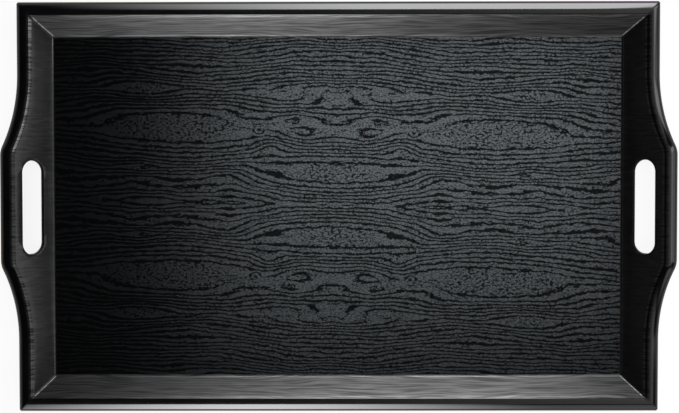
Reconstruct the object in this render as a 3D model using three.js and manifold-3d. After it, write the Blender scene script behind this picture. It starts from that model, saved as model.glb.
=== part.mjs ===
// Black wooden ottoman tray: a veneered floor panel, held in a groove by four leaning walls with mitred ends.
// The end walls rise in an ogee to a hump with a hand hole in it.
// Millimetres. +X runs along the tray, -Y is the front and +Z is up.
// The origin is on the table, under the middle of the tray.

import * as THREE from "three";
import { mergeVertices } from "three/addons/utils/BufferGeometryUtils.js";
import Module from "manifold-3d";

const wasm = await Module();
wasm.setup();

// Overall size
const LENGTH = 650;
const WIDTH = 400;

// Wall boards
const LEAN = THREE.MathUtils.degToRad(37);
const BOARD = 18;
const VENEER = 0.6;
const RIM = BOARD / 2;
const SIDE_FACE = 25;
const HUMP_FACE = 45;

// Ogee of the end walls: a flat hump, a tight knuckle, then a long hollow down to the side height
const HUMP_FLAT = 100;
const KNUCKLE = 22;
const HOLLOW = 148;

// Hand hole, measured on the inner face: eased in front, rounded behind at the grip, and bevelled behind
// along its lower edge so that fingers slip in from beneath
const HOLE_LENGTH = 92;
const HOLE_HEIGHT = 24;
const HOLE_LOW = 13;
const HOLE_EASE = 1;
const HOLE_LAND = 3;
const GRIP_ROUND = 6;
const FINGER_BEVEL = 11;

// Floor panel and the groove that holds it
const FLOOR_TOP = 13;
const PANEL_CORE = 5;
const TONGUE = 5.7;
const GROOVE = 6;
const LEAF_JOINT_X = -3;
const LEAF_JOINT_LEFT = 6;
const LEAF_JOINT_RIGHT = -3;

// Corner joinery and feet
const SPLINE_THICK = 3;
const SPLINE_WIDE = 14;
const SPLINE_LONG = 20;
const SPLINE_DEPTH = 7.5;
const SPLINE_MIDDLE = 5;
const NAIL_LEG = 3;
const NAIL_THICK = 0.6;
const NAIL_TALL = 7;
const NAIL_APEXES = { inner: 12.5, outer: 17.5 };
const PAD_ROUND = 9;
const PAD_THICK = 2;
const PAD_CHAMFER = 0.5;

// Gaps left for glue and fitting
const GLUE = 0.1;
const MITRE_GAP = 0.2;

// Smoothness and the overrun of cutting solids
const RIM_STEPS = 12;
const VENEER_STEPS = 3;
const ARC_STEPS = 8;
const ROUND_STEPS = 5;
const EASE_STEPS = 2;
const OVERRUN = 1;
const CUTTER = 70;

// Sizes that follow from the ones above
const PANEL = PANEL_CORE + 2 * (VENEER + GLUE);
const FOOT = PAD_THICK - FLOOR_TOP;
const rimReach = (face) => face * Math.sin(LEAN) + RIM * Math.cos(LEAN) + RIM;
const FLOOR_LENGTH = LENGTH - 2 * rimReach(HUMP_FACE);
const FLOOR_WIDTH = WIDTH - 2 * rimReach(SIDE_FACE);
const OGEE_TURN = Math.acos(1 - (HUMP_FACE - SIDE_FACE) / (HOLLOW + KNUCKLE));
const OGEE_RUN = (HOLLOW + KNUCKLE) * Math.sin(OGEE_TURN);

// Solids for cutting and joining
function solidOf(geometry) {
  const bare = geometry.clone();
  bare.deleteAttribute("normal");
  bare.deleteAttribute("uv");
  const merged = mergeVertices(bare);
  const vertProperties = new Float32Array(merged.attributes.position.array);
  const triVerts = new Uint32Array(merged.index.array);
  return new wasm.Manifold(new wasm.Mesh({ numProp: 3, vertProperties, triVerts }));
}

function geometryOf(solid) {
  const mesh = solid.getMesh();
  const geometry = new THREE.BufferGeometry();
  geometry.setAttribute("position", new THREE.BufferAttribute(mesh.vertProperties, 3));
  geometry.setIndex(new THREE.BufferAttribute(mesh.triVerts, 1));
  geometry.computeVertexNormals();
  return geometry;
}

// Points of an arc, both ends included
function arc(x, y, radius, from, to, steps) {
  const points = [];
  for (let step = 0; step <= steps; step += 1) {
    const angle = from + ((to - from) * step) / steps;
    points.push(new THREE.Vector2(x + radius * Math.cos(angle), y + radius * Math.sin(angle)));
  }
  return points;
}

// A closed skin through outlines of equal point counts, each lifted to its own depth along Z
function loft(layers) {
  const count = layers[0].outline.length;
  const positions = layers.flatMap(({ outline, depth }) => outline.flatMap((p) => [p.x, p.y, depth]));
  const index = [];
  for (let layer = 0; layer + 1 < layers.length; layer += 1) {
    for (let i = 0; i < count; i += 1) {
      const near = layer * count + i;
      const next = layer * count + ((i + 1) % count);
      index.push(near, next, next + count, near, next + count, near + count);
    }
  }
  const last = (layers.length - 1) * count;
  for (const [a, b, c] of THREE.ShapeUtils.triangulateShape(layers[0].outline, [])) {
    index.push(a, c, b);
  }
  for (const [a, b, c] of THREE.ShapeUtils.triangulateShape(layers[layers.length - 1].outline, [])) {
    index.push(last + a, last + b, last + c);
  }
  const geometry = new THREE.BufferGeometry();
  geometry.setAttribute("position", new THREE.Float32BufferAttribute(positions, 3));
  geometry.setIndex(index);
  return geometry;
}

function box(low, high) {
  const size = new THREE.Vector3().subVectors(high, low);
  const middle = new THREE.Vector3().addVectors(low, high).multiplyScalar(0.5);
  return new THREE.BoxGeometry(size.x, size.y, size.z).translate(middle.x, middle.y, middle.z);
}

// A wall's own frame: X along it, -Y outwards, Z up, with the origin at the middle of the floor's edge.
// A board is drawn with X along it, Y up its inner face and Z into its thickness, and then leaned.
const leaned = (geometry) => geometry.applyMatrix4(new THREE.Matrix4().makeRotationX(Math.PI / 2 + LEAN));

// Rim line of an end wall, from the right end of the ogee to the left, drawn in by inset
function ogee(inset) {
  const hollowX = HUMP_FLAT / 2 + OGEE_RUN;
  const hollowY = SIDE_FACE + RIM + HOLLOW;
  const knuckleY = HUMP_FACE + RIM - KNUCKLE;
  const up = Math.PI / 2;
  const hollow = arc(hollowX, hollowY, HOLLOW + inset, -up, -up - OGEE_TURN, ARC_STEPS);
  const knuckle = arc(HUMP_FLAT / 2, knuckleY, KNUCKLE - inset, up - OGEE_TURN, up, ARC_STEPS);
  const right = [...hollow, ...knuckle.slice(1)];
  const left = right.map((p) => new THREE.Vector2(-p.x, p.y)).reverse();
  return [...right, ...left];
}

// Outline of a board, with its rim drawn in by inset and its foot left long for trimming
function boardOutline(half, inset, humped) {
  const end = half + CUTTER;
  const top = SIDE_FACE + RIM - inset;
  return [
    new THREE.Vector2(-end, -CUTTER),
    new THREE.Vector2(end, -CUTTER),
    new THREE.Vector2(end, top),
    ...(humped ? ogee(inset) : []),
    new THREE.Vector2(-end, top),
  ];
}

// A layer of a board between two depths, with its share of the full-round rim
function boardLayer(half, humped, from, to, steps) {
  const angleAt = (depth) => Math.acos(1 - depth / RIM);
  const layers = [];
  for (let step = 0; step <= steps; step += 1) {
    const angle = angleAt(from) + ((angleAt(to) - angleAt(from)) * step) / steps;
    const inset = RIM * (1 - Math.sin(angle));
    layers.push({ outline: boardOutline(half, inset, humped), depth: RIM * (1 - Math.cos(angle)) });
  }
  return solidOf(leaned(loft(layers)));
}

// The room between a wall's two mitre planes, from a given height upwards
function mitredRoom(half, from) {
  const slack = MITRE_GAP * Math.SQRT1_2;
  const shape = new THREE.Shape([
    new THREE.Vector2(-half - CUTTER + slack, -CUTTER),
    new THREE.Vector2(half + CUTTER - slack, -CUTTER),
    new THREE.Vector2(half - CUTTER - slack, CUTTER),
    new THREE.Vector2(-half + CUTTER + slack, CUTTER),
  ]);
  const room = new THREE.ExtrudeGeometry(shape, { depth: CUTTER - from, bevelEnabled: false });
  return solidOf(room.translate(0, 0, from));
}

function panelGroove(half) {
  const low = new THREE.Vector3(-half - CUTTER, -GROOVE, -PANEL - GLUE);
  const high = new THREE.Vector3(half + CUTTER, CUTTER, GLUE);
  return solidOf(box(low, high));
}

// Hand hole
function roundOver(radius, along) {
  const reach = THREE.MathUtils.clamp(along, 0, radius);
  return radius - Math.sqrt(radius ** 2 - reach ** 2);
}

function holeOutline(depth) {
  const front = roundOver(HOLE_EASE, HOLE_EASE - depth);
  const back = roundOver(GRIP_ROUND, depth - (BOARD - GRIP_ROUND));
  const bevel = FINGER_BEVEL * THREE.MathUtils.clamp((depth - HOLE_LAND) / (BOARD - HOLE_LAND), 0, 1);
  const low = HOLE_LOW - front - bevel;
  const high = HOLE_LOW + HOLE_HEIGHT + front + back;
  const radius = (high - low) / 2;
  const centre = HOLE_LENGTH / 2 + front + back - radius;
  const up = Math.PI / 2;
  return [
    ...arc(centre, low + radius, radius, -up, up, 2 * ARC_STEPS),
    ...arc(-centre, low + radius, radius, up, 3 * up, 2 * ARC_STEPS),
  ];
}

// Depths that follow a quarter round from its edge inwards
function roundDepths(radius, steps) {
  const depths = [];
  for (let step = 0; step <= steps; step += 1) {
    depths.push(radius * (1 - Math.cos((Math.PI / 2) * (step / steps))));
  }
  return depths;
}

function handHole() {
  const front = roundDepths(HOLE_EASE, EASE_STEPS);
  const back = roundDepths(GRIP_ROUND, ROUND_STEPS).map((depth) => BOARD - depth).reverse();
  const depths = [-OVERRUN, ...front, HOLE_LAND, ...back, BOARD + OVERRUN];
  return solidOf(leaned(loft(depths.map((depth) => ({ outline: holeOutline(depth), depth })))));
}

// A corner's own frame: X outwards along the mitre, Z up, with the origin at the floor's corner
function splineBlank(gap) {
  const size = [SPLINE_THICK + 2 * gap, SPLINE_WIDE + 2 * gap, SPLINE_LONG + 2 * gap];
  const outwards = SPLINE_MIDDLE * Math.tan(LEAN) + SPLINE_DEPTH / Math.cos(LEAN);
  const mitreLean = Math.atan(Math.SQRT2 * Math.tan(LEAN));
  const blank = new THREE.BoxGeometry(...size).rotateY(mitreLean);
  return blank.translate(Math.SQRT2 * outwards, 0, SPLINE_MIDDLE);
}

// A V-nail or, with a gap, the pocket for it: two legs that run back from the apex into the two walls
function nailBlank(apexOut, gap, from) {
  const apex = apexOut + gap * Math.SQRT2;
  const leg = NAIL_LEG + gap * Math.SQRT2;
  const thick = NAIL_THICK + 2 * gap;
  const skew = thick * Math.SQRT1_2;
  const shape = new THREE.Shape([
    new THREE.Vector2(apex, 0),
    new THREE.Vector2(apex - leg, leg),
    new THREE.Vector2(apex - leg - skew, leg - skew),
    new THREE.Vector2(apex - thick * Math.SQRT2, 0),
    new THREE.Vector2(apex - leg - skew, skew - leg),
    new THREE.Vector2(apex - leg, -leg),
  ]);
  const depth = FOOT + NAIL_TALL + gap - from;
  return new THREE.ExtrudeGeometry(shape, { depth, bevelEnabled: false }).translate(0, 0, from);
}

// Pockets for the spline and V-nails at both ends of a wall core
function cornerPockets(half) {
  const nails = Object.values(NAIL_APEXES).map((apex) => nailBlank(apex, GLUE, FOOT - OVERRUN));
  const blanks = [splineBlank(GLUE), ...nails];
  const pockets = [];
  for (const side of [-1, 1]) {
    const turn = side > 0 ? -Math.PI / 4 : (-3 * Math.PI) / 4;
    const place = new THREE.Matrix4().makeRotationZ(turn).setPosition(side * half, 0, 0);
    for (const blank of blanks) {
      pockets.push(solidOf(blank.clone().applyMatrix4(place)));
    }
  }
  return pockets;
}

// The three layers of a wall, in the wall's own frame
function wallLayers(half, humped) {
  const innerFrom = VENEER + GLUE;
  const whole = mitredRoom(half, FOOT);
  const aboveFloor = mitredRoom(half, GLUE);
  let core = boardLayer(half, humped, innerFrom, BOARD - innerFrom, RIM_STEPS).intersect(whole);
  let inner = boardLayer(half, humped, 0, VENEER, VENEER_STEPS).intersect(aboveFloor);
  let outer = boardLayer(half, humped, BOARD - VENEER, BOARD, VENEER_STEPS).intersect(whole);
  for (const cutter of [panelGroove(half), ...cornerPockets(half)]) {
    core = core.subtract(cutter);
  }
  if (humped) {
    const hole = handHole();
    core = core.subtract(hole);
    inner = inner.subtract(hole);
    outer = outer.subtract(hole);
  }
  return { core: geometryOf(core), inner_veneer: geometryOf(inner), outer_veneer: geometryOf(outer) };
}

// Materials
function finish(color, roughness, metalness) {
  return new THREE.MeshStandardMaterial({ color, roughness, metalness });
}

const lacqueredVeneer = () => finish(0x191b1e, 0.38, 0);
const paintedCore = () => finish(0x0d0e10, 0.28, 0);
const rawBoard = () => finish(0x8a6f4d, 0.85, 0);
const plywood = () => finish(0xc6a677, 0.8, 0);
const zincedSteel = () => finish(0xa9abad, 0.35, 1);
const rubber = () => finish(0x1f1f1f, 0.9, 0);

function piece(name, geometry, material) {
  const mesh = new THREE.Mesh(geometry, material);
  mesh.name = name;
  return mesh;
}

const tray = new THREE.Group();

// Walls
const longWall = wallLayers(FLOOR_LENGTH / 2, false);
const endWall = wallLayers(FLOOR_WIDTH / 2, true);
const wallPlaces = [
  { name: "front", layers: longWall, turn: 0, x: 0, y: -FLOOR_WIDTH / 2 },
  { name: "right", layers: endWall, turn: Math.PI / 2, x: FLOOR_LENGTH / 2, y: 0 },
  { name: "back", layers: longWall, turn: Math.PI, x: 0, y: FLOOR_WIDTH / 2 },
  { name: "left", layers: endWall, turn: -Math.PI / 2, x: -FLOOR_LENGTH / 2, y: 0 },
];
for (const { name, layers, turn, x, y } of wallPlaces) {
  const wall = new THREE.Group();
  wall.position.set(x, y, FLOOR_TOP);
  wall.rotation.z = turn;
  for (const [layer, geometry] of Object.entries(layers)) {
    const material = layer === "core" ? paintedCore() : lacqueredVeneer();
    wall.add(piece(`${name}_wall_${layer}`, geometry, material));
  }
  tray.add(wall);
}

// Floor panel: backing veneer, core, and four leaves of face veneer around two joints
const panel = new THREE.Group();
panel.position.z = FLOOR_TOP;
const panelX = FLOOR_LENGTH / 2 + TONGUE;
const panelY = FLOOR_WIDTH / 2 + TONGUE;
const coreTop = -VENEER - GLUE;
const coreBottom = coreTop - PANEL_CORE;
const sheet = (x0, y0, z0, x1, y1, z1) => box(new THREE.Vector3(x0, y0, z0), new THREE.Vector3(x1, y1, z1));
panel.add(piece("floor_core", sheet(-panelX, -panelY, coreBottom, panelX, panelY, coreTop), rawBoard()));
const backing = sheet(-panelX, -panelY, -PANEL, panelX, panelY, -PANEL + VENEER);
panel.add(piece("floor_backing", backing, lacqueredVeneer()));
const leafPlaces = [
  { hand: "left", from: -panelX, to: LEAF_JOINT_X - GLUE / 2, joint: LEAF_JOINT_LEFT },
  { hand: "right", from: LEAF_JOINT_X + GLUE / 2, to: panelX, joint: LEAF_JOINT_RIGHT },
];
for (const { hand, from, to, joint } of leafPlaces) {
  const front = sheet(from, -panelY, -VENEER, to, joint - GLUE / 2, 0);
  const back = sheet(from, joint + GLUE / 2, -VENEER, to, panelY, 0);
  panel.add(piece(`floor_leaf_front_${hand}`, front, lacqueredVeneer()));
  panel.add(piece(`floor_leaf_back_${hand}`, back, lacqueredVeneer()));
}
tray.add(panel);

// Corners: a spline in the mitre, two V-nails across it and a pad under it
const padProfile = [
  new THREE.Vector2(0, 0),
  new THREE.Vector2(PAD_ROUND - PAD_CHAMFER, 0),
  new THREE.Vector2(PAD_ROUND, PAD_CHAMFER),
  new THREE.Vector2(PAD_ROUND, PAD_THICK),
  new THREE.Vector2(0, PAD_THICK),
];
const padGeometry = new THREE.LatheGeometry(padProfile, 4 * ARC_STEPS).rotateX(Math.PI / 2);
const footMiddle = FOOT * Math.tan(LEAN) + BOARD / Math.cos(LEAN) / 2;
for (const [ySide, depthName] of [[-1, "front"], [1, "back"]]) {
  for (const [xSide, handName] of [[-1, "left"], [1, "right"]]) {
    const place = `${depthName}_${handName}`;
    const corner = new THREE.Group();
    corner.position.set((xSide * FLOOR_LENGTH) / 2, (ySide * FLOOR_WIDTH) / 2, FLOOR_TOP);
    corner.rotation.z = Math.atan2(ySide, xSide);
    corner.add(piece(`corner_spline_${place}`, splineBlank(0), plywood()));
    for (const [which, apex] of Object.entries(NAIL_APEXES)) {
      corner.add(piece(`v_nail_${place}_${which}`, nailBlank(apex, 0, FOOT), zincedSteel()));
    }
    const pad = piece(`foot_pad_${place}`, padGeometry, rubber());
    pad.position.set(Math.SQRT2 * footMiddle, 0, FOOT - PAD_THICK);
    corner.add(pad);
    tray.add(corner);
  }
}

export default tray;
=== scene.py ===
"""Looks of a black wooden ottoman tray: leaning mitred walls, a round-nosed rim and a book-matched floor.

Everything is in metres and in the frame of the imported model: +X along the tray, -Y the front and +Z up.
"""

import math
from typing import NamedTuple

import bmesh
import bpy
from mathutils import Matrix, Vector


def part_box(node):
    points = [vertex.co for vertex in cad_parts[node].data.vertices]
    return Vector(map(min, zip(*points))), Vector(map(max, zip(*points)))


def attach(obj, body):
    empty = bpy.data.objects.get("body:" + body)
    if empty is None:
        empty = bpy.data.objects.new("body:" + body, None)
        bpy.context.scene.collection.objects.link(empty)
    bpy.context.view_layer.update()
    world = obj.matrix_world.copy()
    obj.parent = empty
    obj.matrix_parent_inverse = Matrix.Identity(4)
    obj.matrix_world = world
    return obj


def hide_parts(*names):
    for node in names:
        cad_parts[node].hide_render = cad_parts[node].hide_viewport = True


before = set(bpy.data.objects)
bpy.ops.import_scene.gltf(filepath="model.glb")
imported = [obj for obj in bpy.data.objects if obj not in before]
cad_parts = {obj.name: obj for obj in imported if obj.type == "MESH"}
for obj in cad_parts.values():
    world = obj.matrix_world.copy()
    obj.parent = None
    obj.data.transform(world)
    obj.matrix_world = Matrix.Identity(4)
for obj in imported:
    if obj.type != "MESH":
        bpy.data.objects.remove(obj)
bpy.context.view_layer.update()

BODY = "root"
CORNERS = ("front_left", "front_right", "back_left", "back_right")
MM = 0.001

# Photograph's frame and the camera that sees it
IMAGE_WIDTH = 679
FOCAL_PIXELS = 981.4
PRINCIPAL_POINT_PIXELS = (-25.15, -9.98)
CAMERA_PLACE = (-19.7 * MM, 32.15 * MM, 987.2 * MM)
CAMERA_TURN = (-0.0227, 0.0036, -0.0014)
SENSOR = 36.0

# Wall boards
LEAN = math.radians(37)
SIN, COS = math.sin(LEAN), math.cos(LEAN)
BOARD = 18 * MM
VENEER = 0.6 * MM
RIM = BOARD / 2
SIDE_FACE = 25 * MM
HUMP_FACE = 45 * MM
VENEER_ANGLE = math.acos(1 - VENEER / RIM)
INNER_NORMAL = (-COS, SIN)
OUTER_NORMAL = (COS, -SIN)
MITRE_COS = math.sqrt(0.5)

# Ogee of the end walls
HUMP_FLAT = 100 * MM
KNUCKLE = 22 * MM
HOLLOW = 148 * MM
OGEE_TURN = math.acos(1 - (HUMP_FACE - SIDE_FACE) / (HOLLOW + KNUCKLE))
OGEE_RUN = (HOLLOW + KNUCKLE) * math.sin(OGEE_TURN)

# Hand hole, measured on the inner face
HOLE_LENGTH = 92 * MM
HOLE_HEIGHT = 24 * MM
HOLE_LOW = 13 * MM
HOLE_EASE = 1 * MM
HOLE_LAND = 3 * MM
GRIP_ROUND = 6 * MM
FINGER_BEVEL = 11 * MM
CUTTER_OVERRUN = 1 * MM

# Floor panel: its top, its edges inside the walls, the groove round it and the joints of its leaves
FLOOR_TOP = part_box("floor_leaf_front_left")[1].z
FLOOR_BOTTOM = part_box("floor_backing")[0].z
TONGUE = 5.7 * MM
GROOVE = 6 * MM
GROOVE_PLAY = 0.1 * MM
FLOOR_HALF_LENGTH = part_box("floor_core")[1].x - TONGUE
FLOOR_HALF_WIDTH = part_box("floor_core")[1].y - TONGUE
LEAF_JOINT_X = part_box("floor_leaf_front_left")[1].x
LEAF_JOINT_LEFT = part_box("floor_leaf_front_left")[1].y
LEAF_JOINT_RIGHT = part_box("floor_leaf_front_right")[1].y
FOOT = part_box("foot_pad_front_left")[1].z - FLOOR_TOP

# Lacquer that fills the inner corners, the sanded round of the outer ones, and the room left for a mitre
FLOOR_BEAD = 1.5 * MM
MITRE_BEAD = 1.7 * MM
FOOT_EASE = 0.7 * MM
MITRE_ROOM = 15 * MM

# Rubber pads, with the profile of the sole in shares of the radius and of the hollow
PAD_EDGE = 0.7 * MM
PAD_HOLLOW = 0.25 * MM
PAD_MIDDLE = 0.3
PAD_SOLE = ((PAD_MIDDLE, 1.0), (0.62, 0.6), (0.74, 0.0))

# Smoothness
RIM_STEPS = 60
VENEER_RIM_STEPS = 8
BEAD_STEPS = 8
MITRE_STEPS = 6
FACE_STEPS = 6
OGEE_STEPS = 20
STRAIGHT_STEPS = 8
TAIL_STEPS = 4
HOLE_QUARTER_STEPS = 24
HOLE_EDGE_STEPS = 8
PAD_AROUND = 64
PAD_EDGE_STEPS = 6
SHARP_ANGLE = math.radians(32)
MERGE_DISTANCE = 0.0005 * MM


# Meshes

def object_from(name, vertices, faces):
    """A mesh object with outward normals, smooth apart from its sharp edges."""
    mesh = bpy.data.meshes.new(name)
    mesh.from_pydata(vertices, [], faces)
    piece = bpy.data.objects.new(name, mesh)
    bpy.context.scene.collection.objects.link(piece)
    smooth(mesh)
    return piece


def smooth(mesh):
    """Points the faces outwards, shades them smooth and marks the edges that stay sharp."""
    shape = bmesh.new()
    shape.from_mesh(mesh)
    bmesh.ops.remove_doubles(shape, verts=shape.verts, dist=MERGE_DISTANCE)
    bmesh.ops.dissolve_degenerate(shape, edges=shape.edges, dist=MERGE_DISTANCE)
    bmesh.ops.recalc_face_normals(shape, faces=shape.faces)
    for face in shape.faces:
        face.smooth = True
    for edge in shape.edges:
        edge.smooth = len(edge.link_faces) == 2 and edge.calc_face_angle() < SHARP_ANGLE
    shape.to_mesh(mesh)
    shape.free()


def loft(name, loops):
    """A closed skin through loops of equal point counts, capped at both ends."""
    count = len(loops[0])
    vertices = [point for loop in loops for point in loop]
    faces = []
    for first in range(0, len(vertices) - count, count):
        for i in range(count):
            j = (i + 1) % count
            faces.append((first + i, first + j, first + count + j, first + count + i))
    faces.append(tuple(range(count)))
    faces.append(tuple(range(len(vertices) - count, len(vertices))))
    return object_from(name, vertices, faces)


def cut(piece, cutter):
    """Takes the cutter's space out of a piece."""
    modifier = piece.modifiers.new("cut", "BOOLEAN")
    modifier.operation = "DIFFERENCE"
    modifier.solver = "EXACT"
    modifier.object = cutter
    bpy.context.view_layer.update()
    evaluated = piece.evaluated_get(bpy.context.evaluated_depsgraph_get())
    mesh = bpy.data.meshes.new_from_object(evaluated)
    piece.modifiers.clear()
    piece.data = mesh
    smooth(mesh)


def steps(first, last, count):
    """Evenly spaced values, both ends included."""
    return [first + (last - first) * step / count for step in range(count + 1)]


def directions(count):
    """Evenly spaced directions all round, each as its cosine and sine."""
    turns = [2 * math.pi * step / count for step in range(count)]
    return [(math.cos(turn), math.sin(turn)) for turn in turns]


def finish_piece(piece, material, node):
    """Gives a piece its material and its place in the frame."""
    piece.data.materials.clear()
    piece.data.materials.append(material)
    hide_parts(node)
    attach(piece, BODY)


# Walls

class Column:
    """One cross-section of a wall. It stands at a fixed place, or at a gap from the mitre at one end."""

    def __init__(self, rim_line, end=0, gap=0.0):
        self.rim_line = rim_line
        self.end = end
        self.gap = gap

    def place(self, half, along, out, up, normal):
        """A point in the wall's own frame: X along the wall, -Y outwards and Z up from the floor's edge.

        Near a mitre, a point with a normal is moved along it on to the bead there.
        """
        if not self.end:
            return Vector((along, -out, up))
        if normal:
            normal_out, normal_up = normal
            lean = math.asin(-normal_out * MITRE_COS)
            to_mitre = self.gap / math.sqrt(1 + normal_up ** 2)
            lift = math.tan(lean) * max(MITRE_BEAD - to_mitre, 0) ** 2 / (2 * MITRE_BEAD)
            out += lift * normal_out
            up += lift * normal_up
        return Vector((self.end * (half + out - self.gap), -out, up))


def straight_rim(along, face):
    """Rim line of a straight stretch: a point's place along the wall and up the board, drawn in by inset."""
    return lambda inset: (along, face + RIM - inset)


def hollow_rim(angle):
    """Rim line in the hollow of the ogee, at an angle from its foot."""
    centre_along = HUMP_FLAT / 2 + OGEE_RUN
    centre_up = SIDE_FACE + RIM + HOLLOW
    return lambda inset: (
        centre_along - (HOLLOW + inset) * math.sin(angle),
        centre_up - (HOLLOW + inset) * math.cos(angle),
    )


def knuckle_rim(angle):
    """Rim line over the knuckle of the ogee, at an angle from the hump's flat."""
    centre_up = HUMP_FACE + RIM - KNUCKLE
    return lambda inset: (
        HUMP_FLAT / 2 + (KNUCKLE - inset) * math.sin(angle),
        centre_up + (KNUCKLE - inset) * math.cos(angle),
    )


def mirrored(rim_line):
    """The same rim line on the left half of the wall."""
    def line(inset):
        along, up = rim_line(inset)
        return -along, up
    return line


def wall_columns(half, humped):
    """All cross-sections of a wall, from its left mitre to its right one."""
    straight_end = half - MITRE_ROOM
    if humped:
        flat = [straight_rim(along, HUMP_FACE) for along in steps(0, HUMP_FLAT / 2, STRAIGHT_STEPS)]
        knuckle = [knuckle_rim(angle) for angle in steps(0, OGEE_TURN, OGEE_STEPS)[1:]]
        hollow = [hollow_rim(angle) for angle in steps(OGEE_TURN, 0, OGEE_STEPS)[1:]]
        tail = steps(HUMP_FLAT / 2 + OGEE_RUN, straight_end, TAIL_STEPS)[1:]
        lines = flat + knuckle + hollow + [straight_rim(along, SIDE_FACE) for along in tail]
    else:
        lines = [straight_rim(along, SIDE_FACE) for along in steps(0, straight_end, 2 * STRAIGHT_STEPS)]
    gaps = steps(0, 2 * MITRE_BEAD, 2 * MITRE_STEPS)
    mitre = [Column(straight_rim(0, SIDE_FACE), 1, gap) for gap in reversed(gaps)]
    right = [Column(line) for line in lines] + mitre
    left = [Column(mirrored(column.rim_line), -column.end, column.gap) for column in right[:0:-1]]
    return left + right


def leaned(up_board, depth):
    """How far out and up a point lies that is given up the board's inner face and into its thickness."""
    return up_board * SIN + depth * COS, up_board * COS - depth * SIN


def up_to_level(level, depth):
    """How far up the board a height above the floor lies, at a depth into it."""
    return (level + depth * SIN) / COS


def board_place(column, half, up_board, depth, along, normal=None):
    """A point given up the board's inner face and into its thickness."""
    out, up = leaned(up_board, depth)
    return column.place(half, along, out, up, normal)


def level_points(column, half, depth, levels):
    """Points on a layer's side at given heights above the floor."""
    along = column.rim_line(RIM)[0]
    return [board_place(column, half, up_to_level(level, depth), depth, along) for level in levels]


def face_points(column, half, depth, from_level, normal):
    """Points up a board's face, from a height above the floor to where the rim starts to turn."""
    along, top = column.rim_line(RIM)
    heights = steps(up_to_level(from_level, depth), top, FACE_STEPS)
    return [board_place(column, half, up_board, depth, along, normal) for up_board in heights]


def rim_points(column, half, from_angle, to_angle, count):
    """Points over the round nose. Angle 0 is the inner face and half a turn is the outer one."""
    places = []
    for angle in steps(from_angle, to_angle, count):
        depth = RIM * (1 - math.cos(angle))
        along, up_board = column.rim_line(RIM * (1 - math.sin(angle)))
        normal = leaned(math.sin(angle), -math.cos(angle))
        places.append(board_place(column, half, up_board, depth, along, normal))
    return places


def bead_points(column, half):
    """The hollow bead of lacquer between the floor and the inner face."""
    turn = math.pi / 2 - LEAN
    radius = FLOOR_BEAD / math.tan(turn / 2)
    along = column.rim_line(RIM)[0]
    places = []
    for angle in steps(0, turn, BEAD_STEPS):
        out = radius * math.sin(angle) - FLOOR_BEAD
        up = radius * (1 - math.cos(angle))
        normal = (-math.sin(angle), math.cos(angle))
        places.append(column.place(half, along, out, up, normal))
    return places


def ease_points(column, half):
    """The sanded round between the outer face and the foot."""
    turn = math.pi / 2 + LEAN
    radius = FOOT_EASE / math.tan(turn / 2)
    along = column.rim_line(RIM)[0]
    foot_out = leaned(up_to_level(FOOT, BOARD), BOARD)[0]
    places = []
    for angle in steps(turn, 0, BEAD_STEPS):
        out = foot_out - FOOT_EASE + radius * math.sin(angle)
        up = FOOT + radius * (1 - math.cos(angle))
        normal = (math.sin(angle), -math.cos(angle))
        places.append(column.place(half, along, out, up, normal))
    return places


def inner_veneer_loop(column, half):
    """The inner veneer, from the bead at the floor to the start of the round nose."""
    bead = bead_points(column, half)
    face = face_points(column, half, 0, FLOOR_BEAD * COS, INNER_NORMAL)
    rim = rim_points(column, half, 0, VENEER_ANGLE, VENEER_RIM_STEPS)
    back = level_points(column, half, VENEER, [0])
    return bead + face[1:] + rim[1:] + back


def core_loop(column, half):
    """The core, with the groove that holds the floor panel."""
    groove_low = FLOOR_BOTTOM - FLOOR_TOP - GROOVE_PLAY
    along = column.rim_line(RIM)[0]
    lip = level_points(column, half, VENEER, [FOOT, groove_low])
    groove = [column.place(half, along, GROOVE, up, None) for up in (groove_low, 0)]
    upper = level_points(column, half, VENEER, [0])
    rim = rim_points(column, half, VENEER_ANGLE, math.pi - VENEER_ANGLE, RIM_STEPS)
    foot = level_points(column, half, BOARD - VENEER, [FOOT])
    return lip + groove + upper + rim + foot


def outer_veneer_loop(column, half):
    """The outer veneer, from the end of the round nose to the eased foot."""
    rim = rim_points(column, half, math.pi - VENEER_ANGLE, math.pi, VENEER_RIM_STEPS)
    face = face_points(column, half, BOARD, FOOT + FOOT_EASE * COS, OUTER_NORMAL)
    ease = ease_points(column, half)
    back = level_points(column, half, BOARD - VENEER, [FOOT])
    return rim + face[::-1][1:] + ease[1:] + back


def hole_outline(depth):
    """Outline of the hand hole at a depth into the board: a slot with round ends, drawn down by the bevel."""
    front = round_over(HOLE_EASE, HOLE_EASE - depth)
    back = round_over(GRIP_ROUND, depth - (BOARD - GRIP_ROUND))
    bevel = FINGER_BEVEL * min(max((depth - HOLE_LAND) / (BOARD - HOLE_LAND), 0), 1)
    radius = HOLE_HEIGHT / 2 + front + back
    centre = HOLE_LENGTH / 2 - HOLE_HEIGHT / 2
    high = HOLE_LOW + HOLE_HEIGHT / 2
    low = high - bevel + back
    outline = []
    for quarter, (along, up) in enumerate(((centre, low), (centre, high), (-centre, high), (-centre, low))):
        first = (quarter - 1) * math.pi / 2
        for angle in steps(first, first + math.pi / 2, HOLE_QUARTER_STEPS):
            outline.append((along + radius * math.cos(angle), up + radius * math.sin(angle)))
    return outline


def round_over(radius, reach):
    """How far a rounded edge has drawn back at a reach into its round."""
    reach = min(max(reach, 0), radius)
    return radius - math.sqrt(radius ** 2 - reach ** 2)


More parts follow.
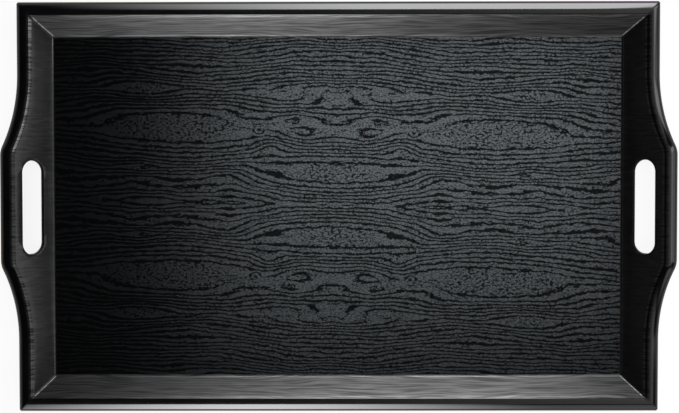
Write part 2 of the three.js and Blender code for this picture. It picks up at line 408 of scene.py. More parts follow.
def hand_hole(matrix):
    """A solid of the hand hole's space, for cutting it."""
    quarter = steps(0, math.pi / 2, HOLE_EDGE_STEPS)
    front = [HOLE_EASE * (1 - math.cos(angle)) for angle in quarter]
    back = [BOARD - GRIP_ROUND * (1 - math.cos(angle)) for angle in reversed(quarter)]
    loops = []
    for depth in [-CUTTER_OVERRUN] + front + [HOLE_LAND] + back + [BOARD + CUTTER_OVERRUN]:
        loop = []
        for along, up_board in hole_outline(depth):
            out, up = leaned(up_board, depth)
            loop.append(matrix @ Vector((along, -out, up)))
        loops.append(loop)
    return loft("hand_hole", loops)


# Walls: name, half the length at the floor, whether there is a hump, turn and place
WALLS = (
    ("front", FLOOR_HALF_LENGTH, False, 0, (0, -FLOOR_HALF_WIDTH)),
    ("right", FLOOR_HALF_WIDTH, True, math.pi / 2, (FLOOR_HALF_LENGTH, 0)),
    ("back", FLOOR_HALF_LENGTH, False, math.pi, (0, FLOOR_HALF_WIDTH)),
    ("left", FLOOR_HALF_WIDTH, True, -math.pi / 2, (-FLOOR_HALF_LENGTH, 0)),
)
WALL_KINDS = ((False, "long"), (True, "end"))
LAYERS = {
    "inner_veneer": inner_veneer_loop,
    "core": core_loop,
    "outer_veneer": outer_veneer_loop,
}


def corner_fittings(wall):
    """The splines and V-nails that sit in pockets at both ends of a wall's core."""
    names = [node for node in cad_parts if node.startswith(("corner_spline", "v_nail"))]
    return [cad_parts[node] for node in sorted(names) if wall in node.split("_")]


def make_walls():
    """The three layers of each wall, with the hand holes and the pockets of the corner fittings cut out."""
    boards = {humped: painted_board(f"{kind}_board", humped) for humped, kind in WALL_KINDS}
    veneers = {humped: wall_veneer(f"{kind}_veneer", humped) for humped, kind in WALL_KINDS}
    for name, half, humped, turn, (x, y) in WALLS:
        matrix = Matrix.Translation((x, y, FLOOR_TOP)) @ Matrix.Rotation(turn, 4, "Z")
        columns = wall_columns(half, humped)
        cutter = hand_hole(matrix) if humped else None
        for layer, layer_loop in LAYERS.items():
            node = f"{name}_wall_{layer}"
            loops = [[matrix @ point for point in layer_loop(column, half)] for column in columns]
            piece = loft(f"{node}_finish", loops)
            if cutter:
                cut(piece, cutter)
            if layer == "core":
                for fitting in corner_fittings(name):
                    cut(piece, fitting)
                finish_piece(piece, boards[humped], node)
            else:
                finish_piece(piece, veneers[humped], node)
        if cutter:
            bpy.data.objects.remove(cutter)


# Materials

class Tree:
    """A node tree, with short calls for the nodes that the materials and the lamps use."""

    def __init__(self, tree):
        self.tree = tree

    def node(self, kind, *values):
        """A new node, with its first inputs set or linked."""
        node = self.tree.nodes.new(kind)
        for value, socket in zip(values, node.inputs):
            self.put(value, socket)
        return node

    def put(self, value, socket):
        """Sets a socket to a number, or links it to another node's output."""
        if isinstance(value, bpy.types.NodeSocket):
            self.tree.links.new(value, socket)
        else:
            socket.default_value = value

    def math(self, operation, *values):
        """The result of a Math node."""
        node = self.node("ShaderNodeMath", *values)
        node.operation = operation
        return node.outputs[0]

    def ramp(self, value, low, high, to_low=0.0, to_high=1.0):
        """A smooth step from to_low at low to to_high at high."""
        node = self.node("ShaderNodeMapRange", value, low, high, to_low, to_high)
        node.interpolation_type = "SMOOTHSTEP"
        return node.outputs[0]

    def split(self, vector):
        """The three parts of a vector."""
        return self.node("ShaderNodeSeparateXYZ", vector).outputs

    def noise(self, along, across, long, wide, detail, seed):
        """Noise from -1 to 1, or nearly, with grains of the given length and width."""
        along = self.math("DIVIDE", along, long)
        across = self.math("DIVIDE", across, wide)
        node = self.tree.nodes.new("ShaderNodeTexNoise")
        node.inputs["Scale"].default_value = 1.0
        node.inputs["Detail"].default_value = detail
        self.put(self.node("ShaderNodeCombineXYZ", along, across, seed).outputs[0], node.inputs["Vector"])
        return self.math("MULTIPLY_ADD", node.outputs["Fac"], 2.0, -1.0)

    def bump(self, height, distance):
        """A normal that follows a height from 0 to 1, as deep as distance."""
        node = self.tree.nodes.new("ShaderNodeBump")
        node.inputs["Distance"].default_value = distance
        self.put(height, node.inputs["Height"])
        return node.outputs["Normal"]

    def place(self):
        """The three coordinates of a point in the tray's frame."""
        return self.split(self.tree.nodes.new("ShaderNodeTexCoord").outputs["Object"])

    def geometry(self, output):
        """The three parts of one of the surface's own vectors, such as its normal."""
        return self.split(self.tree.nodes.new("ShaderNodeNewGeometry").outputs[output])


class Finish(Tree):
    """A material with one Principled shader."""

    def __init__(self, name, **constants):
        self.material = bpy.data.materials.new(name)
        self.material.use_nodes = True
        super().__init__(self.material.node_tree)
        self.shader = self.tree.nodes["Principled BSDF"]
        for socket, value in constants.items():
            self.set(socket.replace("_", " "), value)

    def set(self, socket, value):
        """Sets or links one of the shader's inputs."""
        self.put(value, self.shader.inputs[socket])

    def colour(self, factor, dark, light):
        """A base colour between two, by a factor from 0 to 1."""
        node = self.tree.nodes.new("ShaderNodeMix")
        node.data_type = "RGBA"
        self.put(factor, node.inputs["Factor"])
        node.inputs["A"].default_value = (*dark, 1)
        node.inputs["B"].default_value = (*light, 1)
        self.set("Base Color", node.outputs["Result"])


# Figure of the floor's face veneer, in the frame of one leaf

class Lens(NamedTuple):
    """A place where the growth rings part, in millimetres outwards from the crossing of the leaf joints.

    Where they part by more than 1 its middle is free of them, and by less they only lie wider apart. Eyes are
    rings that close in its middle, and blunt ends keep its height for longer.
    """

    along: float
    across: float
    half_long: float
    half_high: float
    parting: float
    eyes: float = 0.0
    blunt: bool = False


class Bend(NamedTuple):
    """A place where the growth rings swerve by a number of rings, given as a lens is."""

    along: float
    across: float
    half_long: float
    half_high: float
    swerve: float
    blunt: bool = False


class Wave(NamedTuple):
    """A wave in all growth rings: its length and width in millimetres, and how many rings it swings.

    A calm wave is weaker inside a lens.
    """

    long: float
    wide: float
    swing: float
    seed: float
    calm: bool


# Growth rings: how close they lie at the leaf joints, how much closer further out, and the figure's tilt
RINGS_AT_JOINT = 0.17 / MM
RING_GAIN = 0.0004 / MM ** 2
FIGURE_TILT = math.radians(1.4)

# How steeply the eyes close, how much a lens weakens a calm wave, and where everything lies
EYE_POWER = 2.5
CALM_IN_LENS = 0.85
LENSES = (
    Lens(0, 85, 100, 60, parting=0.45),
    Lens(0, 31, 66, 20, parting=1.12),
    Lens(38, 75, 28, 12, parting=1.2, eyes=1.0),
    Lens(52, 109, 60, 10, parting=1.1, eyes=1.0),
    Lens(77, 73, 6, 5, parting=1.2, eyes=1.0),
    Lens(166, 74, 82, 26, parting=1.05, blunt=True),
    Lens(194, 33, 18, 5, parting=1.2, eyes=1.0),
    Lens(192, 112, 36, 9.5, parting=1.5),
)
BENDS = (
    Bend(66, 58, 13, 8, swerve=-1.1),
    Bend(105, 26, 19, 8, swerve=-1.2),
    Bend(118, 114, 26, 12, swerve=1.1),
    Bend(230, 130, 40, 14, swerve=-1.2),
)
WAVES = (
    Wave(72, 20, swing=1.3, seed=1.3, calm=True),
    Wave(26, 9, swing=0.45, seed=5.0, calm=True),
    Wave(8, 3, swing=0.22, seed=8.7, calm=False),
    Wave(2.6, 1.6, swing=0.16, seed=12.4, calm=False),
)


class Oval:
    """A soft oval on a leaf, with a fade from 1 in its middle to 0 outside.

    Side is a point's place across it, in half heights. Run, and tilt times side, are how fast the logarithm
    of the fade changes along the leaf and across it.
    """

    def __init__(self, tree, along, across, shape):
        far = tree.math("DIVIDE", tree.math("SUBTRACT", along, shape.along * MM), shape.half_long * MM)
        side = tree.math("DIVIDE", tree.math("SUBTRACT", across, shape.across * MM), shape.half_high * MM)
        length = tree.math("MULTIPLY", far, far)
        run = tree.math("MULTIPLY", far, -2 / (shape.half_long * MM))
        if shape.blunt:
            run = tree.math("MULTIPLY", run, tree.math("MULTIPLY", length, 2.0))
            length = tree.math("MULTIPLY", length, length)
        reach = tree.math("MULTIPLY_ADD", side, side, length)
        self.fade = tree.math("EXPONENT", tree.math("MULTIPLY", reach, -1.0))
        self.side = side
        self.run = run
        self.tilt = -2 / (shape.half_high * MM)


class Rings:
    """The count of growth rings at a point of a leaf, and how fast it changes across it and along it."""

    def __init__(self, tree, across):
        self.tree = tree
        gain = tree.math("MULTIPLY_ADD", across, RING_GAIN / 2, RINGS_AT_JOINT)
        self.count = tree.math("MULTIPLY", across, gain)
        self.rise = tree.math("MULTIPLY_ADD", across, RING_GAIN, RINGS_AT_JOINT)
        self.drift = 0.0

    def add(self, swerve, oval, power=1.0):
        """Adds a swerve that fades with a power of an oval's fade."""
        self.count = self.tree.math("ADD", self.count, swerve)
        if power != 1.0:
            swerve = self.tree.math("MULTIPLY", swerve, power)
        across = self.tree.math("MULTIPLY", swerve, oval.side)
        self.rise = self.tree.math("MULTIPLY_ADD", across, oval.tilt, self.rise)
        self.drift = self.tree.math("MULTIPLY_ADD", swerve, oval.run, self.drift)

    def part(self, lens, oval):
        """Parts the rings in a lens, midway between two of them, and closes its eyes."""
        middle = lens.across * MM
        level = middle * (RINGS_AT_JOINT + RING_GAIN / 2 * middle)
        midway = math.floor(level) + 0.5 - level
        spread = lens.parting * (RINGS_AT_JOINT + RING_GAIN * middle)
        slope = self.tree.math("MULTIPLY_ADD", oval.side, -spread * lens.half_high * MM, midway)
        self.add(self.tree.math("MULTIPLY", slope, oval.fade), oval)
        self.rise = self.tree.math("MULTIPLY_ADD", oval.fade, -spread, self.rise)
        if lens.eyes:
            eye = self.tree.math("MULTIPLY", self.tree.math("POWER", oval.fade, EYE_POWER), lens.eyes)
            self.add(eye, oval, EYE_POWER)

    def density(self):
        """How close the rings lie, in rings for each metre."""
        drift = self.tree.math("MULTIPLY", self.drift, self.drift)
        return self.tree.math("SQRT", self.tree.math("MULTIPLY_ADD", self.rise, self.rise, drift))


def leaf_place(tree, x, y):
    """Where a point of the floor lies in its leaf, outwards along and across from the leaf joints."""
    x = tree.math("SUBTRACT", x, LEAF_JOINT_X)
    y = tree.math("SUBTRACT", y, (LEAF_JOINT_LEFT + LEAF_JOINT_RIGHT) / 2)
    turn_sin, turn_cos = math.sin(FIGURE_TILT), math.cos(FIGURE_TILT)
    along = tree.math("MULTIPLY_ADD", x, turn_cos, tree.math("MULTIPLY", y, -turn_sin))
    across = tree.math("MULTIPLY_ADD", x, turn_sin, tree.math("MULTIPLY", y, turn_cos))
    return tree.math("ABSOLUTE", along), tree.math("ABSOLUTE", across)


def growth_rings(tree, x, y):
    """The count of growth rings at a point of the floor, how close they lie, and how far it is in a lens."""
    along, across = leaf_place(tree, x, y)
    rings = Rings(tree, across)
    for bend in BENDS:
        oval = Oval(tree, along, across, bend)
        rings.add(tree.math("MULTIPLY", oval.fade, bend.swerve), oval)
    inside = 0.0
    for lens in LENSES:
        oval = Oval(tree, along, across, lens)
        rings.part(lens, oval)
        if lens.parting > 1 and not lens.eyes:
            inside = tree.math("MAXIMUM", inside, oval.fade)
    calm = tree.math("MULTIPLY_ADD", inside, -CALM_IN_LENS, 1.0)
    count = rings.count
    for wave in WAVES:
        height = tree.noise(along, across, wave.long * MM, wave.wide * MM, 0.0, wave.seed)
        if wave.calm:
            height = tree.math("MULTIPLY", height, calm)
        count = tree.math("MULTIPLY_ADD", height, wave.swing, count)
    return count, rings.density(), inside


# Dark lines of the floor's face veneer, which thin out from the left to the middle of the tray. Their extra
# width at the left end is painted shade: it darkens the end of the floor where less light falls.
LINE_FADE = (-260 * MM, -100 * MM)
LINE_THICK = (0.85 * MM, 0.4 * MM)
LINE_RAGGED = 0.8 * MM
LINE_SHARE = 0.13
LINE_SHARE_MOST = 1 * MM
LINE_EDGE = (1.2, 0.6)
LINE_IN_LENS = (0.9, 0.8)
LINE_DEPTH = 0.92
FEWEST_RINGS = 0.03 / MM

# Pores of the floor's face veneer, which dull the sheen
FINE_PORES = 0.48
COARSE_PORES = 0.7
PORES_MOST = 0.92
OPEN_IN_LENS = (0.6, 0.85)
VENEER_RELIEF = 0.05 * MM


def ring_lines(finish, x, y, rings, density):
    """The dark ragged line at each growth ring, from 0 to 1."""
    off = finish.math("ABSOLUTE", finish.math("SUBTRACT", rings, finish.math("ROUND", rings)))
    distance = finish.math("DIVIDE", off, finish.math("MAXIMUM", density, FEWEST_RINGS))
    ragged = finish.noise(x, y, long=8 * MM, wide=2.6 * MM, detail=2.0, seed=21.0)
    # Thicker lines at the left end: real grain lines, widened there as painted shade for that darker end
    thick = finish.ramp(x, *LINE_FADE, *LINE_THICK)
    share = finish.math("DIVIDE", LINE_SHARE, finish.math("MAXIMUM", density, LINE_SHARE / LINE_SHARE_MOST))
    width = finish.math("ADD", share, finish.math("MULTIPLY_ADD", ragged, LINE_RAGGED, thick))
    return finish.ramp(finish.math("DIVIDE", distance, width), *LINE_EDGE)


def floor_pores(finish, x, y, lens):
    """How much the pores take of the sheen: fine ones all over, and coarse ones in patches and in lenses."""
    fine = finish.noise(x, y, long=2.0 * MM, wide=1.5 * MM, detail=0.0, seed=33.0)
    fine = finish.ramp(fine, low=-0.04, high=0.08)
    coarse = finish.noise(x, y, long=3.4 * MM, wide=2.2 * MM, detail=1.0, seed=36.0)
    coarse = finish.ramp(coarse, low=-0.02, high=0.12)
    patch = finish.noise(x, y, long=22 * MM, wide=7 * MM, detail=1.0, seed=40.0)
    patch = finish.ramp(patch, low=-0.2, high=0.2, to_low=0.0, to_high=0.6)
    blotch = finish.noise(x, y, long=15 * MM, wide=8 * MM, detail=2.0, seed=45.0)
    blotch = finish.ramp(blotch, low=-0.1, high=0.2, to_low=0.6, to_high=1.3)
    in_lens = finish.math("MULTIPLY", finish.ramp(lens, *OPEN_IN_LENS), blotch)
    open_wood = finish.math("MAXIMUM", patch, in_lens)
    coarse = finish.math("MULTIPLY", coarse, finish.math("MULTIPLY", open_wood, COARSE_PORES))
    return finish.math("MINIMUM", finish.math("MULTIPLY_ADD", fine, FINE_PORES, coarse), PORES_MOST)


def floor_veneer():
    """Black lacquer over open-pore veneer: dark ragged lines, and stippled bands that carry the sheen."""
    finish = Finish("floor_veneer", Roughness=0.5, Specular_IOR_Level=0.03, Coat_Roughness=0.2, Coat_IOR=1.9)
    x, y, _ = finish.place()
    rings, density, lens = growth_rings(finish, x, y)
    line = ring_lines(finish, x, y, rings, density)
    line = finish.math("MULTIPLY", line, finish.ramp(lens, *LINE_IN_LENS))
    band = finish.math("SUBTRACT", 1.0, floor_pores(finish, x, y, lens))
    sheen = finish.math("MULTIPLY", band, finish.math("MULTIPLY_ADD", line, -LINE_DEPTH, 1.0))
    finish.set("Coat Weight", sheen)
    finish.colour(sheen, dark=(0.0009, 0.0009, 0.001), light=(0.0018, 0.0019, 0.0021))
    finish.set("Normal", finish.bump(sheen, VENEER_RELIEF))
    return finish.material


# Grain of the wall veneers: what its streaks and pores take of the sheen, and where an end wall's rim starts
STREAKS = 0.34
LONG_WALL_PORES = 0.5
END_WALL_PORES = 0.2
END_RIM_PORES = 0.5
RIM_FACING = (0.61, 0.68)
ABOVE_BEAD = (FLOOR_TOP + 2 * FLOOR_BEAD, FLOOR_TOP + 4 * FLOOR_BEAD)
GRAIN_DRIFT = 2.5 * MM
GRAIN_SWAY = 8 * MM


def pore_lines(finish, along, across, stretch):
    """Fine straight grain of the wall veneers: even streaks, and sparse open pores, each from 0 to 1."""
    drift = finish.noise(along, across, long=60 * MM, wide=14 * MM, detail=1.0, seed=2.0)
    bent = finish.math("MULTIPLY_ADD", drift, GRAIN_DRIFT, across)
    streak = finish.noise(along, bent, long=stretch * 15 * MM, wide=1.7 * MM, detail=3.0, seed=5.0)
    pore = finish.noise(along, bent, long=stretch * 30 * MM, wide=1.5 * MM, detail=1.0, seed=9.0)
    return finish.ramp(streak, low=-0.35, high=0.35), finish.ramp(pore, low=-0.05, high=0.2)


def wall_veneer(name, end_wall):
    """Black lacquer over plain veneer. The grain runs along a long wall and up the slope of an end wall."""
    finish = Finish(name, Roughness=0.45, Specular_IOR_Level=0.03)
    finish.set("Coat Roughness", 0.15 if end_wall else 0.4)
    finish.set("Coat IOR", 1.5 if end_wall else 2.15)
    x, y, z = finish.place()
    slope = finish.math("DIVIDE", z, COS)
    if end_wall:
        streak, pore = pore_lines(finish, slope, y, stretch=1.0)
        upwards = finish.geometry("Normal")[2]
        on_rim = finish.math("MULTIPLY", finish.ramp(upwards, *RIM_FACING), finish.ramp(z, *ABOVE_BEAD))
        depth = finish.math("MULTIPLY_ADD", on_rim, END_RIM_PORES, END_WALL_PORES)
    else:
        sway = finish.noise(x, slope, long=110 * MM, wide=30 * MM, detail=1.0, seed=17.0)
        flow = finish.math("MULTIPLY_ADD", sway, GRAIN_SWAY, slope)
        streak, pore = pore_lines(finish, x, flow, stretch=2.0)
        depth = LONG_WALL_PORES
    even = finish.math("MULTIPLY_ADD", streak, STREAKS, 1 - STREAKS)
    sheen = finish.math("MULTIPLY", even, finish.math("SUBTRACT", 1.0, finish.math("MULTIPLY", pore, depth)))
    finish.set("Coat Weight", sheen)
    finish.colour(sheen, dark=(0.001, 0.001, 0.0012), light=(0.0026, 0.0027, 0.003))
    finish.set("Normal", finish.bump(sheen, VENEER_RELIEF))
    return finish.material


# Paint of the wall boards: its coat, the grain that shows through on an end wall, and the hand hole's reach
PAINT_COAT = 0.45
PAINT_RELIEF = 0.004 * MM
WORN_FACING = (0.05, 0.3)
WORN_MOST = 0.7
WORN_RELIEF = 12.0
HOLE_REACH_UP = (42 * MM, 40 * MM)
HOLE_REACH_ALONG = (62 * MM, 58 * MM)
HOLE_DULL = 0.7


def in_hand_hole(finish, x, y, z):
    """Whether a point of an end wall lies on the cut faces of its hand hole, from 0 to 1."""
    out = finish.math("SUBTRACT", finish.math("ABSOLUTE", x), FLOOR_HALF_LENGTH)
    up = finish.math("MULTIPLY", finish.math("SUBTRACT", z, FLOOR_TOP), COS)
    up_board = finish.math("MULTIPLY_ADD", out, SIN, up)
    below = finish.ramp(up_board, *HOLE_REACH_UP)
    return finish.math("MULTIPLY", below, finish.ramp(finish.math("ABSOLUTE", y), *HOLE_REACH_ALONG))


def painted_board(name, end_wall):
    """Smooth black paint with the faint unevenness of a sprayed coat.

    On an end wall the grain of the veneer shows through where the rim turns towards the inside, and the cut
    faces of the hand hole shine less than the rim.
    """
    finish = Finish(name, Specular_IOR_Level=0.05, Coat_Roughness=0.13, Coat_IOR=2.4)
    x, y, z = finish.place()
    cloud = finish.noise(finish.math("ADD", x, z), y, long=25 * MM, wide=25 * MM, detail=3.0, seed=4.0)
    grit = finish.noise(finish.math("ADD", x, z), y, long=0.9 * MM, wide=0.9 * MM, detail=1.0, seed=8.0)
    shade = finish.ramp(cloud, low=-0.6, high=0.6)
    finish.colour(shade, dark=(0.0012, 0.0012, 0.0014), light=(0.0022, 0.0022, 0.0025))
    finish.set("Roughness", finish.ramp(cloud, low=-0.8, high=0.8, to_low=0.22, to_high=0.32))
    if end_wall:
        to_middle = finish.math("MULTIPLY", finish.math("SIGN", x), -1.0)
        inwards = finish.math("MULTIPLY", finish.geometry("Normal")[0], to_middle)
        _, pore = pore_lines(finish, finish.math("DIVIDE", z, COS), y, stretch=1.0)
        worn = finish.math("MULTIPLY", pore, finish.ramp(inwards, *WORN_FACING, 0.0, WORN_MOST))
        shine = finish.math("MULTIPLY_ADD", worn, -PAINT_COAT, PAINT_COAT)
        dull = finish.math("MULTIPLY_ADD", in_hand_hole(finish, x, y, z), -HOLE_DULL, 1.0)
        finish.set("Coat Weight", finish.math("MULTIPLY", shine, dull))
        grit = finish.math("MULTIPLY_ADD", worn, -WORN_RELIEF, grit)
    else:
        finish.set("Coat Weight", PAINT_COAT)
    finish.set("Normal", finish.bump(grit, PAINT_RELIEF))
    return finish.material


# Backing veneer: how far its grain drifts, and its roughness between the streaks and on them
BACKING_DRIFT = 6 * MM
BACKING_ROUGH = 0.62
BACKING_SMOOTH = 0.5


def backing_veneer():
    """Matt black lacquer over a plain straight-grained veneer."""
    finish = Finish("backing_veneer", Specular_IOR_Level=0.35)
    x, y, _ = finish.place()
    drift = finish.noise(x, y, long=120 * MM, wide=30 * MM, detail=1.0, seed=6.0)
    bent = finish.math("MULTIPLY_ADD", drift, BACKING_DRIFT, y)
    streak = finish.noise(x, bent, long=70 * MM, wide=1.6 * MM, detail=2.0, seed=7.0)
    streak = finish.ramp(streak, low=-0.4, high=0.4)
    finish.colour(streak, dark=(0.006, 0.006, 0.0065), light=(0.016, 0.016, 0.0175))
    rough = finish.math("MULTIPLY_ADD", streak, BACKING_SMOOTH - BACKING_ROUGH, BACKING_ROUGH)
    finish.set("Roughness", rough)
    finish.set("Normal", finish.bump(streak, VENEER_RELIEF))
    return finish.material


def raw_board():
    """Fibreboard under black glue on its faces, and bare at its edges, with a fine felt of fibres."""
    finish = Finish("raw_board", Roughness=0.85, Specular_IOR_Level=0.2)
    x, y, z = finish.place()
    felt = finish.noise(finish.math("ADD", x, z), y, long=2.5 * MM, wide=0.8 * MM, detail=3.0, seed=11.0)
    bare = finish.ramp(finish.math("ABSOLUTE", finish.geometry("Normal")[2]), low=0.8, high=0.5)
    pale = finish.math("MULTIPLY", bare, finish.ramp(felt, low=-0.5, high=0.5, to_low=0.6, to_high=1.0))
    finish.colour(pale, dark=(0.002, 0.002, 0.002), light=(0.4, 0.29, 0.18))
    finish.set("Normal", finish.bump(felt, distance=0.05 * MM))
    return finish.material


def plywood():
    """Thin birch ply with fine grain."""
    finish = Finish("plywood", Roughness=0.75, Specular_IOR_Level=0.25)
    x, y, z = finish.place()
    grain = finish.noise(z, finish.math("ADD", x, y), long=14 * MM, wide=0.7 * MM, detail=2.0, seed=12.0)
    shade = finish.ramp(grain, low=-0.5, high=0.5)
    finish.colour(shade, dark=(0.46, 0.31, 0.16), light=(0.66, 0.49, 0.28))
    finish.set("Normal", finish.bump(grain, distance=0.04 * MM))
    return finish.material


def zinced_steel():
    """Zinc-plated spring steel with faint rolling lines."""
    finish = Finish("zinced_steel", Metallic=1.0)
    x, y, z = finish.place()
    rolled = finish.noise(finish.math("ADD", x, y), z, long=6 * MM, wide=0.25 * MM, detail=2.0, seed=13.0)
    shade = finish.ramp(rolled, low=-0.6, high=0.6)
    finish.colour(shade, dark=(0.45, 0.46, 0.47), light=(0.62, 0.63, 0.64))
    finish.set("Roughness", finish.ramp(rolled, low=-0.6, high=0.6, to_low=0.28, to_high=0.42))
    return finish.material


def pad_rubber():
    """Matt black rubber with a fine moulded grain."""
    finish = Finish("pad_rubber", Specular_IOR_Level=0.3)
    x, y, _ = finish.place()
    grain = finish.noise(x, y, long=0.5 * MM, wide=0.5 * MM, detail=2.0, seed=14.0)
    shade = finish.ramp(grain, low=-0.5, high=0.5)
    finish.colour(shade, dark=(0.014, 0.014, 0.014), light=(0.026, 0.026, 0.026))
    finish.set("Roughness", finish.ramp(grain, low=-0.5, high=0.5, to_low=0.75, to_high=0.92))
    finish.set("Normal", finish.bump(grain, distance=0.05 * MM))
    return finish.material


# Floor, fittings and pads

def dress_node(node, material):
    """Gives a CAD node that keeps its own shape its material."""
    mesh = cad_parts[node].data
    mesh.materials.clear()
    mesh.materials.append(material)


def dress_joinery():
    """Gives the floor panel and the corner fittings their materials."""
    leaf, plate, wood = floor_veneer(), zinced_steel(), plywood()
    for corner in CORNERS:
        dress_node(f"floor_leaf_{corner}", leaf)
        dress_node(f"corner_spline_{corner}", wood)
        for which in ("inner", "outer"):
            dress_node(f"v_nail_{corner}_{which}", plate)
    dress_node("floor_core", raw_board())
    dress_node("floor_backing", backing_veneer())


def make_pads():
    """Round rubber feet with a rounded lower edge and a slightly hollow sole."""
    rubber = pad_rubber()
    for corner in CORNERS:
        node = f"foot_pad_{corner}"
        low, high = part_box(node)
        middle = (low + high) / 2
        radius = (high.x - low.x) / 2
        profile = [(share * radius, hollow * PAD_HOLLOW) for share, hollow in PAD_SOLE]
        for angle in steps(0, math.pi / 2, PAD_EDGE_STEPS):
            profile.append((radius - PAD_EDGE + PAD_EDGE * math.sin(angle), PAD_EDGE * (1 - math.cos(angle))))
        profile += [(radius, high.z - low.z), (PAD_MIDDLE * radius, high.z - low.z)]
        loops = []
        for out, up in profile:
            loops.append([
                Vector((middle.x + out * cosine, middle.y + out * sine, low.z + up))
                for cosine, sine in directions(PAD_AROUND)
            ])
        finish_piece(loft(f"{node}_finish", loops), rubber, node)


# Lamps: name, place, target, size, shares of the size over which the edges fade, and radiance
HIGH_BACK = ((1.05, 0.5, 0.8), (-0.31, 0.15, 0.04))
HIGH_FRONT = ((1.05, -0.5, 0.8), (-0.31, -0.15, 0.04))
HIGH_SIZE = (0.45, 1.3)
HIGH_SOFT = (0.2, 0.2, 0.15, 0.5)
SIDE_LAMPS = (
    ("back_lamp", (0.025, 0.28, 0.225), (0.025, 0, 0.225), (0.71, 0.43), (0.07, 0.58, 0.1, 0.1), 5.6),
    ("front_lamp", (-0.1, -0.31, 0.17), (-0.1, 0, 0.17), (0.7, 0.32), (0.5, 0.5, 0.1, 0.1), 7.0),
    ("front_fill_lamp", (0.4, -0.45, 0.2), (0.3, 0, 0.1), (0.8, 0.4), (0.3, 0.3, 0.2, 0.2), 0.6),
    ("right_lamp", (1.0, 0, 0.62), (0, 0, 0.05), (0.7, 1.1), (0.2, 0.2, 0.2, 0.3), 0.75),
    ("low_right_lamp", (1.3, 0, 0.2), (0, 0, 0.1), (1.6, 0.36), (0.3, 0.3, 0.1, 0.4), 1.7),
    ("high_right_lamp", *HIGH_BACK, HIGH_SIZE, HIGH_SOFT, 1.7),
    ("end_back_lamp", *HIGH_BACK, HIGH_SIZE, HIGH_SOFT, 6.0),
    ("end_front_lamp", *HIGH_FRONT, HIGH_SIZE, HIGH_SOFT, 1.5),
)
TOP_LAMPS = (
    ("fill_lamp", (0, 0, 2.6), (0, 0, 0), (3, 3), (0.3, 0.3, 0.3, 0.3), 4.0),
    ("floor_lamp", (0.19, -0.105, 1.6), (0.19, -0.105, 0), (1.42, 1.29), (0.34, 0.15, 0.68, 0.1), 1.55),
    ("rim_lamp", (0.375, 0.1, 0.8), (0.375, 0.1, 0), (1.45, 1.4), (1.0, 0.1, 0.1, 0.1), 0.6),
)
FLOOR_LAMP_COLOUR = (0.84, 0.94, 1)

# Dim lamps all round, as the sides of a tent
TENT_SIDES = {"right": (1, 0), "back": (0, 1), "left": (-1, 0), "front": (0, -1)}
TENT_DISTANCE = 2
TENT_HEIGHT = 1.1
TENT_SIZE = (4, 1.4)
TENT_SOFT = (0.1, 0.1, 0.2, 0.2)
TENT_RADIANCE = 0.25


def area_lamp(name, place, target, size, soft, radiance):
    """A rectangular lamp turned to a target, even in the middle.

    Its edges fade over shares of its size: those at its own -X, +X, -Y and +Y.
    """
    lamp = bpy.data.lights.new(name, "AREA")
    lamp.shape = "RECTANGLE"
    lamp.size, lamp.size_y = size
    lamp.energy = radiance * math.pi * size[0] * size[1]
    lamp.use_nodes = True
    tree = Tree(lamp.node_tree)
    spot = tree.geometry("Parametric")
    strength = 1.0
    for share, first, last in ((spot[0], *soft[:2]), (spot[1], *soft[2:])):
        strength = tree.math("MULTIPLY", strength, tree.ramp(share, 0.0, first))
        strength = tree.math("MULTIPLY", strength, tree.ramp(share, 1.0, 1.0 - last))
    tree.put(strength, lamp.node_tree.nodes["Emission"].inputs["Strength"])
    holder = bpy.data.objects.new(name, lamp)
    holder.location = place
    holder.rotation_euler = (Vector(target) - Vector(place)).to_track_quat("-Z", "Y").to_euler()
    holder.visible_camera = False
    bpy.context.scene.collection.objects.link(holder)
    return holder


def tent_lamps():
    """The rows of the tent's lamps, which look level towards the middle."""
    target = (0, 0, TENT_HEIGHT)
    rows = []
    for side, (x, y) in TENT_SIDES.items():
        place = (x * TENT_DISTANCE, y * TENT_DISTANCE, TENT_HEIGHT)
        rows.append((f"tent_lamp_{side}", place, target, TENT_SIZE, TENT_SOFT, TENT_RADIANCE))
    return rows


def wall_pieces(*walls, layers=tuple(LAYERS)):
    """The dressed layers of some walls."""
    return [bpy.data.objects[f"{wall}_wall_{layer}_finish"] for wall in walls for layer in layers]


def link_lamp(lamp, pieces, state):
    """Lets a lamp light only some pieces, or everything but those."""
    receivers = bpy.data.collections.new(f"{lamp.name}_receivers")
    for piece in pieces:
        receivers.objects.link(piece)
    for entry in receivers.collection_objects:
        entry.light_linking.link_state = state
    lamp.light_linking.receiver_collection = receivers


def make_lamps():
    """All lamps, and which pieces they light where that isn't all of them."""
    lamps = {row[0]: area_lamp(*row) for row in (*SIDE_LAMPS, *tent_lamps(), *TOP_LAMPS)}
    lamps["fill_lamp"].visible_glossy = False
    lamps["floor_lamp"].data.color = FLOOR_LAMP_COLOUR
    leaves = [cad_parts[f"floor_leaf_{corner}"] for corner in CORNERS]
    end_faces = wall_pieces("left", "right", layers=["inner_veneer"])
    link_lamp(lamps["floor_lamp"], leaves, "INCLUDE")
    link_lamp(lamps["rim_lamp"], leaves, "EXCLUDE")
    link_lamp(lamps["back_lamp"], wall_pieces("front", "back"), "INCLUDE")
    link_lamp(lamps["front_lamp"], wall_pieces("front", "back"), "INCLUDE")
    link_lamp(lamps["low_right_lamp"], wall_pieces("right"), "EXCLUDE")
    link_lamp(lamps["high_right_lamp"], wall_pieces("left"), "EXCLUDE")
    link_lamp(lamps["end_back_lamp"], wall_pieces("left"), "INCLUDE")
    link_lamp(lamps["end_front_lamp"], wall_pieces("left"), "INCLUDE")
    for side in TENT_SIDES:
        link_lamp(lamps[f"tent_lamp_{side}"], leaves + end_faces, "INCLUDE")


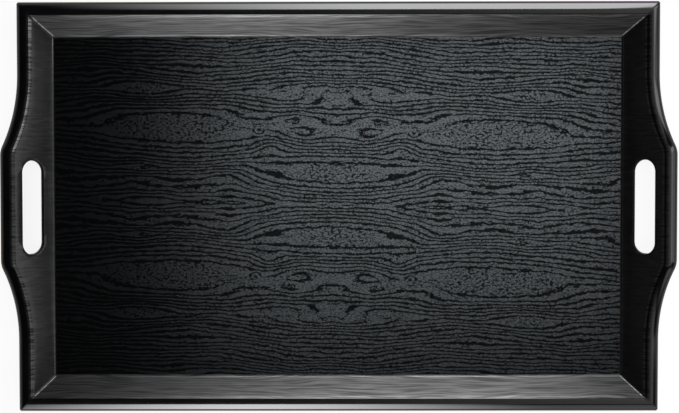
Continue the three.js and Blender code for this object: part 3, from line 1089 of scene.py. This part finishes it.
# Stage, world and camera
STAGE_MIDDLE = 0.6
STAGE_RADIUS = 6.0
STAGE_CURVE = 1.0
STAGE_HEIGHT = 2.2
STAGE_AROUND = 96
STAGE_CURVE_STEPS = 12
STAGE_PAINT = (0.15, 0.15, 0.15, 1)
WHITE = (1, 1, 1, 1)
WORLD_COLOUR = (0.006, 0.006, 0.007, 1)


def make_stage():
    """A floor that curves up all round into a backdrop."""
    flat = STAGE_RADIUS - STAGE_CURVE
    profile = [(STAGE_MIDDLE, 0.0), (flat, 0.0)]
    for angle in steps(0, math.pi / 2, STAGE_CURVE_STEPS)[1:]:
        profile.append((flat + STAGE_CURVE * math.sin(angle), STAGE_CURVE - STAGE_CURVE * math.cos(angle)))
    profile.append((STAGE_RADIUS, STAGE_HEIGHT))
    around = directions(STAGE_AROUND)
    vertices = [(out * cosine, out * sine, up) for out, up in profile for cosine, sine in around]
    faces = [tuple(range(STAGE_AROUND))]
    for first in range(0, len(vertices) - STAGE_AROUND, STAGE_AROUND):
        second = first + STAGE_AROUND
        for i in range(STAGE_AROUND):
            j = (i + 1) % STAGE_AROUND
            faces.append((first + i, second + i, second + j, first + j))
    mesh = bpy.data.meshes.new("stage")
    mesh.from_pydata(vertices, [], faces)
    mesh.shade_smooth()
    mesh.materials.append(stage_material())
    stage = bpy.data.objects.new("stage", mesh)
    bpy.context.scene.collection.objects.link(stage)


def stage_material():
    """Grey paint that the camera and glass see lifted to white, and gloss less so. Shadows stay on it."""
    finish = Finish("stage", Base_Color=STAGE_PAINT, Roughness=1.0, Specular_IOR_Level=0.0)
    finish.set("Emission Color", WHITE)
    x, y, z = finish.place()
    out = finish.math("SQRT", finish.math("MULTIPLY_ADD", x, x, finish.math("MULTIPLY", y, y)))
    path = finish.tree.nodes.new("ShaderNodeLightPath").outputs
    dimmer = finish.ramp(z, low=0.0, high=0.3, to_low=0.3, to_high=0.1)
    in_gloss = finish.math("MULTIPLY", path["Is Glossy Ray"], dimmer)
    seen = finish.math("MAXIMUM", path["Is Camera Ray"], path["Is Transmission Ray"])
    seen = finish.math("MAXIMUM", seen, in_gloss)
    lifted = finish.ramp(out, low=0.45, high=1.3, to_low=0.86, to_high=1.0)
    finish.set("Emission Strength", finish.math("MULTIPLY", seen, lifted))
    return finish.material


def make_camera():
    """The camera that took the photograph."""
    lens = bpy.data.cameras.new("camera")
    lens.sensor_width = SENSOR
    lens.lens = FOCAL_PIXELS / IMAGE_WIDTH * SENSOR
    lens.shift_x = -PRINCIPAL_POINT_PIXELS[0] / IMAGE_WIDTH
    lens.shift_y = PRINCIPAL_POINT_PIXELS[1] / IMAGE_WIDTH
    lens.dof.use_dof = False
    camera = bpy.data.objects.new("camera", lens)
    camera.location = CAMERA_PLACE
    camera.rotation_euler = CAMERA_TURN
    bpy.context.scene.collection.objects.link(camera)
    bpy.context.scene.camera = camera


def make_world():
    """A nearly black world, so that the lamps alone light the tray."""
    world = bpy.data.worlds.new("world")
    world.use_nodes = True
    world.node_tree.nodes["Background"].inputs["Color"].default_value = WORLD_COLOUR
    bpy.context.scene.world = world


make_walls()
dress_joinery()
make_pads()
make_lamps()
make_stage()
make_camera()
make_world()
bpy.context.scene.view_settings.view_transform = "Standard"
